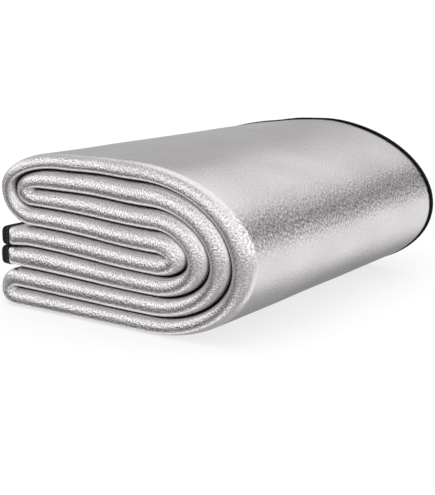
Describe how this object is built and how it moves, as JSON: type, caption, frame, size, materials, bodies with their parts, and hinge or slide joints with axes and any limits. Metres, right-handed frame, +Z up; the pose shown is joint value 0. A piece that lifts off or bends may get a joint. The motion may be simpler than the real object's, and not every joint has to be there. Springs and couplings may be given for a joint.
{
  "type": "folded foil camping mat",
  "caption": "Long foam sleeping mat faced with silver film and edged with black tape, doubled across its width and folded along its length into a flat bundle for carrying.",
  "frame": {"origin": "centre of the bundle's footprint, on the surface that it lies on", "axes": "+Z up, +X towards the large nested bends, +Y from the round front fold to the bound long edges"},
  "size_m": [0.2656, 0.308, 0.1396],
  "materials": {
    "silver_film": "silver film with a fine crinkle over closed-cell foam",
    "black_tape": "woven black binding tape"
  },
  "bodies": {
    "root": {"mat": "silver_film", "binding_long_outer": "black_tape", "binding_long_inner": "black_tape", "binding_end_upper": "black_tape", "binding_end_lower": "black_tape"}
  },
  "joints": []
}
